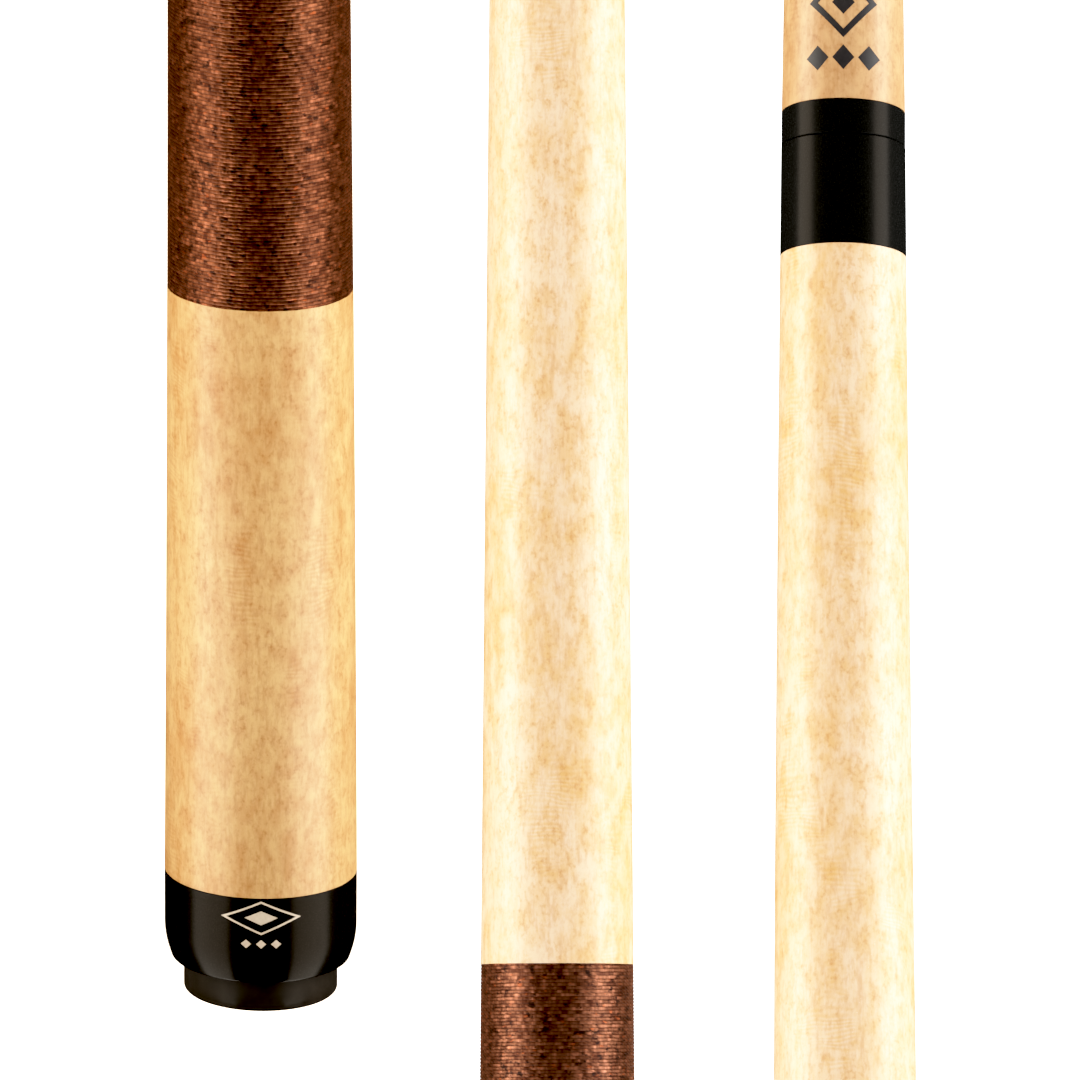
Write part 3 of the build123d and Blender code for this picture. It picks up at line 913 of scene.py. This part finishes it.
# in metres and degrees; a bearing is measured from the camera's side of the cue, to the camera's right
softboxes = {
    "leftBox": {"bearing": -75, "distance": 1.5, "height": 0.98, "size": (0.82, 1.8),
                "power": 35.0, "colour": (1.0, 0.93, 0.83), "inGloss": True},
    "rightBox": {"bearing": 75, "distance": 1.5, "height": 0.98, "size": (0.82, 1.8),
                 "power": 33.0, "colour": (1.0, 0.97, 0.93), "inGloss": True},
    "sideFill": {"bearing": 95, "distance": 1.8, "height": 0.98, "size": (1.2, 1.8),
                 "power": 14.0, "colour": (1, 1, 1), "inGloss": False},
    "frontFill": {"bearing": 0, "distance": 2.0, "height": 0.9, "size": (1.2, 1.6),
                  "power": 12.0, "colour": (1.0, 0.97, 0.93), "inGloss": False},
    "backFill": {"bearing": 150, "distance": 2.2, "height": 0.9, "size": (1.6, 1.6),
                 "power": 40.0, "colour": (1, 1, 1), "inGloss": False},
}
# the fill card lights the cue, and the sheen card shows in its gloss only
cards = {
    "colour": (0.9, 1.0, 1.1, 1),
    "FillCard": {"bearing": 71, "halfAngle": 13, "start": 0.05, "reach": 1.55, "lift": 0.0005,
                 "glow": 6.2, "lights": True},
    "SheenCard": {"bearing": 63, "halfAngle": 25, "start": -0.006, "reach": 0.22, "lift": 0.001,
                  "glow": 7.2, "lights": False},
}


def makeFloor():
    deselectAll()
    bpy.ops.mesh.primitive_plane_add(size=studio["floorSize"])
    floor = bpy.context.object
    floor.location.z = -studio["floorDrop"] * mm
    floor.name = "paleFloor"
    paint = newMaterial("floorPaint")
    grain = band(paint, noise(paint, place(paint), 60, 2), 0.3, 0.7)
    setShader(
        paint,
        Base_Color=mixColours(paint, grain, tone(244, 244, 244), tone(248, 248, 248)),
        Roughness=0.9, Emission_Color=(1, 1, 1, 1), Emission_Strength=studio["backdrop"],
    )
    floor.data.materials.append(paint)
    floor.visible_glossy = False
    floor.visible_diffuse = False


def makeBackdrop():
    # white where the camera or a prism looks past the cue, and dim for the light that falls on it
    world = bpy.data.worlds.new("studio")
    scene.world = world
    world.use_nodes = True
    world.node_tree.nodes.clear()
    paths = addNode(world, "ShaderNodeLightPath").outputs
    seen = combine(world, "MAXIMUM", paths["Is Camera Ray"], paths["Is Transmission Ray"])
    dim = addNode(world, "ShaderNodeMath", {
        0: paths["Is Glossy Ray"], 1: studio["glossyAmbient"] - studio["ambient"], 2: studio["ambient"],
    }, operation="MULTIPLY_ADD").outputs[0]
    strength = band(world, seen, 0.0, 1.0, dim, studio["backdrop"])
    paper = addNode(world, "ShaderNodeBackground", {"Color": (1, 1, 1, 1), "Strength": strength})
    addNode(world, "ShaderNodeOutputWorld", {"Surface": paper.outputs[0]})


def bearingWay(angle):
    bearing = math.radians(angle)
    return -lookFlat * math.cos(bearing) + aside * math.sin(bearing)


def addSoftbox(name):
    box = softboxes[name]
    height = Vector((0, 0, box["height"]))
    spot = bearingWay(box["bearing"]) * box["distance"] + height
    facing = (height - spot).to_track_quat("-Z", "Y").to_euler()
    bpy.ops.object.light_add(type="AREA", location=spot, rotation=facing)
    light = bpy.context.object
    light.name = name
    light.data.shape = "RECTANGLE"
    light.data.size, light.data.size_y = box["size"]
    light.data.energy = box["power"]
    light.data.color = box["colour"]
    light.visible_camera = False
    light.visible_transmission = False
    light.visible_glossy = box["inGloss"]


def addCard(side, kind):
    # a bright triangle lies level with the cue's foot, with a corner towards the cue, and widens outwards
    shape = cards[kind]
    name = side + kind
    angle = (-1 if side == "left" else 1) * shape["bearing"]
    reach, spread = shape["reach"], math.tan(math.radians(shape["halfAngle"]))
    deselectAll()
    bpy.ops.mesh.primitive_circle_add(vertices=3, radius=2 * reach / 3, fill_type="NGON")
    card = bpy.context.object
    card.name = name
    editAll()
    bpy.ops.transform.translate(value=(0, -2 * reach / 3, shape["lift"]))
    widest = reach / math.sqrt(3)
    bpy.ops.transform.resize(value=(reach * spread / widest, 1, 1), center_override=(0, 0, 0))
    bpy.ops.object.mode_set(mode="OBJECT")
    way = bearingWay(angle)
    card.location = bearingWay(angle / 2) * capRadius + way * shape["start"]
    card.rotation_euler = (0, 0, math.atan2(way.y, way.x) + math.pi / 2)
    glow = newMaterial(name + "Paper")
    setShader(
        glow, Base_Color=(0, 0, 0, 1), Emission_Color=cards["colour"],
        Emission_Strength=shape["glow"],
    )
    card.data.materials.append(glow)
    card.visible_camera = False
    card.visible_transmission = False
    card.visible_shadow = False
    card.visible_diffuse = shape["lights"]


makeFloor()
makeBackdrop()
rimPaint = makeRimPaint()
makePrism("left", rimPaint)
makePrism("right", rimPaint)
for side in ("left", "right"):
    addSoftbox(side + "Box")
    addCard(side, "FillCard")
    addCard(side, "SheenCard")
for fill in ("sideFill", "frontFill", "backFill"):
    addSoftbox(fill)

# what is darker than blackLevel prints black, and what is brighter than whiteLevel prints white
display = scene.view_settings
display.view_transform = "Standard"
display.use_curve_mapping = True
display.curve_mapping.black_level = (studio["blackLevel"],) * 3
display.curve_mapping.white_level = (studio["whiteLevel"],) * 3
for level, printed in studio["contrast"]:
    display.curve_mapping.curves[3].points.new(level, printed)
display.curve_mapping.update()
print("studio ready")
